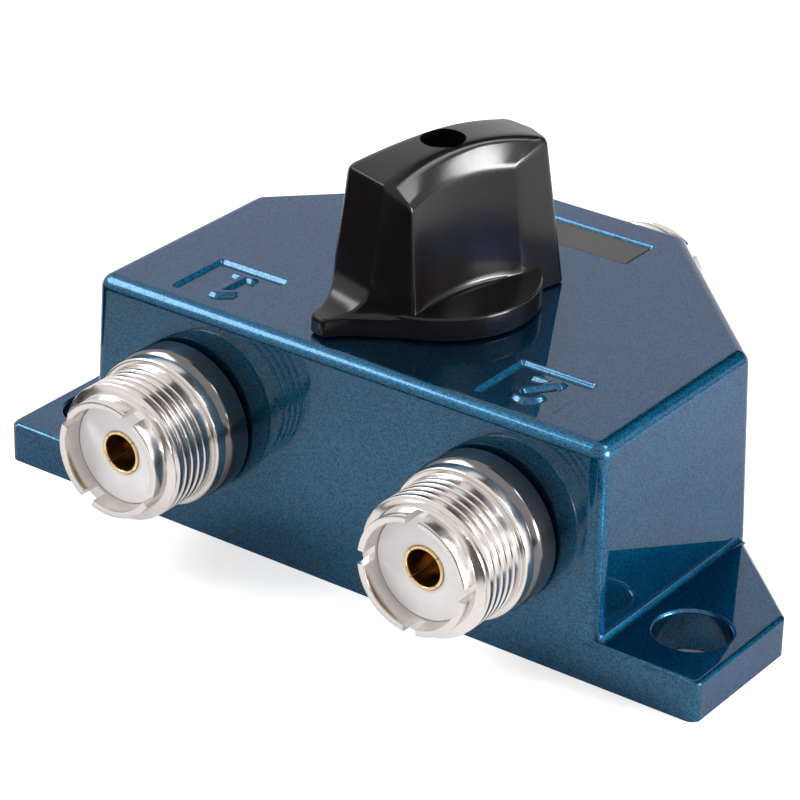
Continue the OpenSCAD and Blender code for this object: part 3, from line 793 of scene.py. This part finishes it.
def at_socket(which, points, turn=0.0):
    """Moves points from a socket's own axis to a port, whose mouth the frame gives.

    The axis points out of the housing, which is -Y in front and +Y at the back.
    """
    x, y, z = np.moveaxis(turned(points, turn), -1, 0)
    port = mounts[f"port_{which}"]
    out = port["axis"][1]
    mouth_x, mouth_y, mouth_z = np.array(port["pos_m"]) / MM
    return np.stack([mouth_x + x, mouth_y + out * (z - socket_l), mouth_z - out * y],
                    axis=-1)


def contact_piece(which):
    """The gold contact: four fingers round a bore, a pin behind, a slot in the pin."""
    tools = [box_tool(saw_cut, (0, 0, saw_z), math.pi / 4 + i * quarter_turn)
             for i in range(2)]
    tools.append(box_tool(pin_slot, (0, 0, slot_z), 0))
    mesh = carve(make_piece("contact", [lathe(contact_profile, 144)]), *tools)
    placed = at_socket(which, coordinates(mesh)) * MM
    mesh.vertices.foreach_set("co", placed.ravel())
    finish_mesh(f"contact_{which}", mesh, "case", [f"socket_contact_{which}"], "gold", 30)


# %% [markdown]
# The three sockets differ only in how far each shell was screwed round before its nut
# was tightened, which shows in where the notches stand.

# %% Sockets
turns = {"1": math.radians(-28), "2": 0.0, "com": math.radians(45)}
for which, turn in turns.items():
    make_piece(f"shell_{which}", [at_socket(which, shell, turn)], "case",
               [f"socket_shell_{which}"], "nickel", 33, closed=False)
    make_piece(f"ring_{which}", [at_socket(which, lathe(ring_profile, 128))], "case",
               [f"socket_ring_{which}"], "ring_black")
    make_piece(f"insulator_{which}", [at_socket(which, lathe(insulator_profile))],
               "case", [f"socket_insulator_{which}"], "white_insulator")
    contact_piece(which)

# %% [markdown]
# ## Housing
# The housing is a painted casting. Its CAD mesh already has the right walls, rounds,
# ears and bores, so a copy of it is merged and kept. Only the three sunk places look too
# sharp for a casting under thick paint. They are filled here, and cut again with tools
# whose undersides are height maps.

# %% Casting
body_h = node_box("housing")[1][2].round(1)
panel_x, panel_y, panel_size, panel_depth = 20.2, -11, (9.3, 8.8), 0.5
plate_low, plate_high = node_box("name_plate")
plate_w, plate_l, plate_t = (plate_high - plate_low).round(3)
plate_y = ((plate_low + plate_high) / 2).round(3)[1]
place_size, place_depth = (plate_w + 0.4, plate_l + 0.4), body_h - plate_low[2]


def merged_copy(name, node):
    """A copy of a CAD node's mesh, with its loose triangles merged into whole faces."""
    work = bmesh.new()
    work.from_mesh(nodes[node].data)
    bmesh.ops.remove_doubles(work, verts=work.verts, dist=2e-6)
    bmesh.ops.dissolve_limit(work, angle_limit=math.radians(0.5), verts=work.verts,
                             edges=work.edges)
    mesh = bpy.data.meshes.new(name)
    work.to_mesh(mesh)
    work.free()
    return mesh


def fill_pocket(mesh, centre, size, spare=0.05, below=0.7):
    """Removes the faces in a box round a sunk place and closes the flat hole."""
    (cx, cy), (w, l) = centre, size
    low = Vector((cx - w / 2 - spare, cy - l / 2 - spare, body_h - below)) * MM
    high = Vector((cx + w / 2 + spare, cy + l / 2 + spare, body_h + spare)) * MM
    work = bmesh.new()
    work.from_mesh(mesh)
    inside = [f for f in work.faces
              if all(low[i] < v.co[i] < high[i] for v in f.verts for i in range(3))]
    bmesh.ops.delete(work, geom=inside, context="FACES")
    rim = [e for e in work.edges if e.is_boundary]
    bmesh.ops.holes_fill(work, edges=rim, sides=0)
    bmesh.ops.recalc_face_normals(work, faces=work.faces)
    print("pocket faces removed:", len(inside), "rim edges:", len(rim))
    work.to_mesh(mesh)
    work.free()


casting = merged_copy("casting", "housing")
for x in (-panel_x, panel_x):
    fill_pocket(casting, (x, panel_y), panel_size)
fill_pocket(casting, (0, plate_y), place_size)

# %% [markdown]
# ## Numbers
# The numbers stand up from the floor of their panels. A font could draw them, but cast
# ones have blunt strokes and soft feet. So each number is a distance: how far a point
# lies outside its nearest stroke. Less than 0 is inside.

# %% Numbers as distances


def box_distance(x, y, w, l, corner):
    """Signed distance to a rounded rectangle of that width and length."""
    a, b = np.abs(x) - w / 2 + corner, np.abs(y) - l / 2 + corner
    outside = np.hypot(np.maximum(a, 0), np.maximum(b, 0))
    return outside + np.minimum(np.maximum(a, b), 0) - corner


def stroke(x, y, start, end, width):
    """Signed distance to a straight stroke between two points, with rounded corners."""
    (x0, y0), (x1, y1) = start, end
    size = math.hypot(x1 - x0, y1 - y0)
    c, s = (x1 - x0) / size, (y1 - y0) / size
    u = (x - (x0 + x1) / 2) * c + (y - (y0 + y1) / 2) * s
    v = (y - (y0 + y1) / 2) * c - (x - (x0 + x1) / 2) * s
    return box_distance(u, v, size, width, 0.2)


def number_one(x, y):
    """A stem, a flag and a foot."""
    return np.minimum.reduce([
        stroke(x, y, (0, -3), (0, 3), 1.1),
        stroke(x, y, (0.1, 2.65), (-1.75, 1.15), 1.0),
        stroke(x, y, (-1.5, -2.55), (1.5, -2.55), 0.9)])


def number_two(x, y):
    """Part of a ring about (0, top) with radius r, a slanting stroke and a foot."""
    top, r, far_away = 1.2, 1.25, 9
    a = np.arctan2(y - top, x)
    arc = np.abs(np.hypot(x, y - top) - r) - 0.55
    arc = np.where((a > -0.5) | (a < -2.9), arc, far_away)
    return np.minimum.reduce([
        arc, stroke(x, y, (1.25, 0.8), (-1.2, -2.5), 1.1),
        stroke(x, y, (-1.8, -2.45), (1.8, -2.45), 1.1)])


print("strokes at the middle:", number_one(0, 0).round(2), number_two(0, 0).round(2))

# %% [markdown]
# A tool is a block over the top face. Its underside sinks inside the rim and comes up
# again under a number, and both changes are smooth steps of a distance. Cutting it out
# leaves the sunk place with the soft rim of a painted casting.

# %% Sunk places
soft_rim, soft_number, number_share, place_corner = 0.62, 0.6, 0.95, 0.35


def slope(distance, width):
    """0 inside, 1 outside, and a smooth step of that width in between."""
    t = np.clip(distance / width + 0.5, 0, 1)
    return t * t * (3 - 2 * t)


def sunk_tool(centre, size, sink, number=None, step=0.075, margin=0.4):
    """A block whose underside is the height map of a sunk place, with its number.

    A number rises by number_share of the sink. Outside the rim the underside is lifted
    a little, which keeps it clear of the flat top.
    """
    (cx, cy), (w, l) = centre, size
    x = np.linspace(-w / 2 - margin, w / 2 + margin, int(w / step))
    y = np.linspace(-l / 2 - margin, l / 2 + margin, int(l / step))
    x, y = np.meshgrid(x, y)
    rim = box_distance(x, y, w, l, place_corner)
    raised = 0.0
    if number:
        raised = number_share * (1 - slope(number(-x, -y), soft_number))
    depth = sink * (1 - slope(rim + 0.1, soft_rim)) * (1 - raised)
    lift = 0.06 * np.clip((rim - 0.12) / 0.2, 0, 1)
    z = body_h - depth + lift
    under = np.stack([x + cx, y + cy, z], axis=-1)
    over = np.stack([x + cx, y + cy, 0 * z + body_h + 1], axis=-1)
    rows, columns = x.shape
    first = grid_faces(rows, columns, 0, False)
    second = grid_faces(rows, columns, rows * columns, False)[:, ::-1]
    ring = np.concatenate([np.arange(columns), np.arange(1, rows) * columns + columns - 1,
                           (rows - 1) * columns + np.arange(columns - 2, -1, -1),
                           np.arange(rows - 2, 0, -1) * columns])
    after = np.roll(ring, -1)
    side = np.stack([ring, ring + rows * columns, after + rows * columns, after], axis=1)
    mesh = bpy.data.meshes.new("tool")
    mesh.from_pydata((np.concatenate([under.reshape(-1, 3), over.reshape(-1, 3)])
                      * MM).tolist(), [], np.concatenate([first, second, side]).tolist())
    return finish_mesh("tool", mesh)


# %% [markdown]
# With the three places cut, a weighted-normal modifier evens the shading of the wide
# flat faces, which would otherwise darken towards their rounded edges.

# %% Painted housing
blank = bpy.data.objects.new("casting", casting)
scene.collection.objects.link(blank)
tools = [sunk_tool((x, panel_y), panel_size, panel_depth, number)
         for x, number in ((-panel_x, number_one), (panel_x, number_two))]
tools.append(sunk_tool((0, plate_y), place_size, place_depth))
housing = finish_mesh("painted_housing", carve(blank, *tools), "case", ["housing"],
                      "paint", 50)
even = housing.modifiers.new("even shading", "WEIGHTED_NORMAL")
even.keep_sharp = True
even.weight = 80

# %% [markdown]
# ## Name plate
# A thin black plate lies in the long sunk place. It stays blank. It is a rounded
# rectangle, carried up a short profile with a softened upper edge.

# %% Name plate


def slab(w, l, corner, profile, columns=64):
    """Rounded rectangles that shrink by the profile's inset as they go up.

    An inset of None is the single point in the middle, which closes the face.
    """
    a = np.linspace(0, 2 * math.pi, columns, endpoint=False)
    c, s = np.cos(a), np.sin(a)
    rows = []
    for inset, z in profile:
        if inset is None:
            x = y = 0 * a
        else:
            r = max(corner - inset, 0.01)
            x = np.sign(c) * (w / 2 - corner) + r * c
            y = np.sign(s) * (l / 2 - corner) + r * s
        rows.append(np.stack([x, y, 0 * a + z], axis=-1))
    return np.stack(rows)


plate = slab(plate_w, plate_l, 0.4, [
    (None, 0), (0.02, 0), (0, 0.03), (0, plate_t - 0.11), (0.03, plate_t - 0.04),
    (0.1, plate_t), (0.3, plate_t), (None, plate_t)])
make_piece("blank_plate", [plate + [0, plate_y, plate_low[2]]], "case", ["name_plate"],
           "plate")

# %% [markdown]
# ## Finishes
# A finish is a network that starts with a Principled shader and Object coordinates.
# Patterns are named by their real size in millimetres, so that grain, flakes and
# smudges keep the scale of the real thing.

# %% Finishes


class Finish(Network):
    """A material under construction: its shader, its coordinates and its patterns."""

    def __init__(self, name, **shader):
        self.material = bpy.data.materials.new(name)
        self.material.use_nodes = True
        super().__init__(self.material.node_tree)
        result = self.node("ShaderNodeBsdfPrincipled")
        self.shader = result.socket.node
        self.finish(result)
        self.place = self.node("ShaderNodeTexCoord", output="Object")
        for key, value in shader.items():
            self.set(key.replace("_", " "), value)

    def set(self, name, value):
        plug(self.shader.inputs[name], value)

    def noise(self, size, detail=2.0, rough=0.5, place=None):
        """Cloudy noise from 0 to 1 whose blotches are about that many millimetres."""
        return self.node("ShaderNodeTexNoise", {
            "Vector": place or self.place, "Scale": 1 / (size * MM), "Detail": detail,
            "Roughness": rough})

    def cells(self, size, output="Distance"):
        """Cells about that many millimetres wide: distance to, or colour of, each."""
        return self.node("ShaderNodeTexVoronoi", {
            "Vector": self.place, "Scale": 1 / (size * MM)}, output=output)

    def red(self, colour):
        """One number of a colour, such as a cell's random one."""
        return self.node("ShaderNodeSeparateColor", {0: colour})

    def mix(self, share, first, second):
        """A colour that goes from the first to the second as the share grows."""
        return self.node("ShaderNodeMix", {0: share, 6: first, 7: second}, output=2,
                         data_type="RGBA")

    def scaled(self, colour, factor):
        """A colour multiplied by a number that varies over the surface."""
        return self.node("ShaderNodeVectorMath", {0: colour, 3: factor},
                         operation="SCALE")

    def stretched(self, x, y, z):
        """Object coordinates stretched per axis, for marks that run one way."""
        return self.node("ShaderNodeMapping", {"Vector": self.place,
                                               "Scale": (x, y, z)})

    def bump(self, height, depth, strength):
        """Relief from a height of 0 to 1, that many millimetres deep."""
        self.set("Normal", self.node("ShaderNodeBump", {
            "Height": height, "Distance": depth * MM, "Strength": strength}))


finishes = {}

# %% [markdown]
# ## Paint
# A metallic blue-green paint: tiny flakes under a clear coat. The flakes are small cells
# with a random brightness, and they also tilt the surface a little, so that the rounded
# edges sparkle. A slow, cloudy change keeps the wide faces from looking flat, and a few
# pits stand for the casting's pores.

# %% Paint
deep_blue, blue_green = (0.003, 0.033, 0.095, 1), (0.007, 0.115, 0.202, 1)
paint = Finish("flake paint", Metallic=1.0, Coat_Weight=1.0, Coat_Roughness=0.03,
               Coat_IOR=1.42, Specular_Tint=(0.10, 0.30, 0.45, 1))
flake = paint.red(paint.cells(0.13, "Color"))
cloud = paint.noise(9, 3, 0.6)
grain = paint.noise(0.35, 2, 0.6)
paint.set("Base Color", paint.scaled(
    paint.mix(flake.step(0.15, 0.85), deep_blue, blue_green), 0.85 + 0.30 * cloud))
paint.set("Roughness", 0.30 + 0.12 * grain)
pores = 1 - paint.cells(3.1).step(0.02, 0.06)
paint.bump(0.4 * grain + 0.6 * flake - 1.5 * pores, 0.010, 0.5)
finishes["paint"] = paint.material
print("paint:", len(paint.tree.nodes), "nodes")

# %% [markdown]
# ## Plated and bare metals
# Nickel, gold, brass and steel differ in colour and in how the finish scatters light.
# All of them get a very fine grain, and faint smudges in the colour and the roughness,
# as from fingers.

# %% Metals


def metal(name, colour, rough, smudge, blotch=2.0):
    """A metal with cloudy roughness and a fine grain in its relief."""
    made = Finish(name, Metallic=1.0)
    cloudy = made.noise(blotch, 4, 0.6)
    fine = made.noise(0.12, 2)
    made.set("Base Color", made.scaled(
        made.mix(cloudy, tuple(0.86 * c for c in colour) + (1,), colour + (1,)),
        0.94 + 0.12 * fine))
    made.set("Roughness", rough + smudge * cloudy.step(0.35, 0.75))
    made.bump(fine, 0.0006, 0.6)
    finishes[name] = made.material


metal("nickel", (0.76, 0.71, 0.68), 0.18, 0.08)
metal("gold", (0.85, 0.63, 0.33), 0.14, 0.10, 1.0)
metal("brass", (0.60, 0.44, 0.19), 0.22, 0.14)
metal("steel", (0.52, 0.52, 0.53), 0.24, 0.14)
print("metals:", ", ".join(list(finishes)[1:]))

# %% [markdown]
# ## Plastics
# The knob is moulded phenolic: nearly black, satin to glossy, with the faint orange-peel
# waviness of a moulding and light rubbing marks. The rings are glossier and mirror the
# room like dark metal, the white insulator is waxy, and the insulating hub is brown
# paper laminate, with layers that show as fine stripes.

# %% Plastics


def moulded(name, colour, rough, peel=0.004, marks=0.10, **more):
    """A moulded plastic with slow waves, fine grain and slightly uneven gloss."""
    made = Finish(name, **more)
    wave = made.noise(2.5, 2)
    fine = made.noise(0.10, 3, 0.7)
    rubbed = made.noise(1.4, 3, 0.6, made.stretched(1, 1, 0.35)).step(0.5, 0.8)
    made.set("Base Color", made.mix(0.6 * wave + 0.4 * fine, colour + (1,),
                                    tuple(1.35 * c for c in colour) + (1,)))
    made.set("Roughness", rough + marks * rubbed + 0.06 * fine)
    made.bump(0.8 * wave + 0.2 * fine, peel, 0.5)
    finishes[name] = made.material
    return made


moulded("knob_black", (0.0036, 0.0028, 0.0032), 0.17, 0.008, 0.04, IOR=1.40)
moulded("ring_black", (0.14, 0.135, 0.135), 0.12, 0.004, 0.05, Metallic=0.9)
moulded("plate", (0.010, 0.010, 0.011), 0.26, 0.004, 0.06)
moulded("white_insulator", (0.78, 0.77, 0.775), 0.38, 0.004, 0.08)
amber = moulded("amber_insulator", (0.30, 0.15, 0.055), 0.42)
layers = amber.node("ShaderNodeTexWave", {"Vector": amber.place, "Scale": 900.0,
                                          "Distortion": 1.2, "Detail": 2.0},
                    output="Color", bands_direction="Z")
amber.set("Base Color", amber.mix(amber.red(layers), (0.24, 0.11, 0.04, 1),
                                  (0.36, 0.19, 0.07, 1)))
print("finishes:", ", ".join(sorted(finishes)))

# %% [markdown]
# ## Finishes onto the pieces
# Every piece names the slot of its finish. A CAD node keeps its mesh, and only the
# material in its slot is exchanged.

# %% Finishes onto the pieces
dressed = 0
for piece in scene.objects:
    slot = piece.get("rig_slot")
    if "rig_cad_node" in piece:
        slot = piece.material_slots[0].material.name.split(".")[0]
        piece.material_slots[0].material = finishes[slot]
    elif slot:
        piece.data.materials.clear()
        piece.data.materials.append(finishes[slot])
    dressed += bool(slot)
print("pieces with a finish:", dressed)
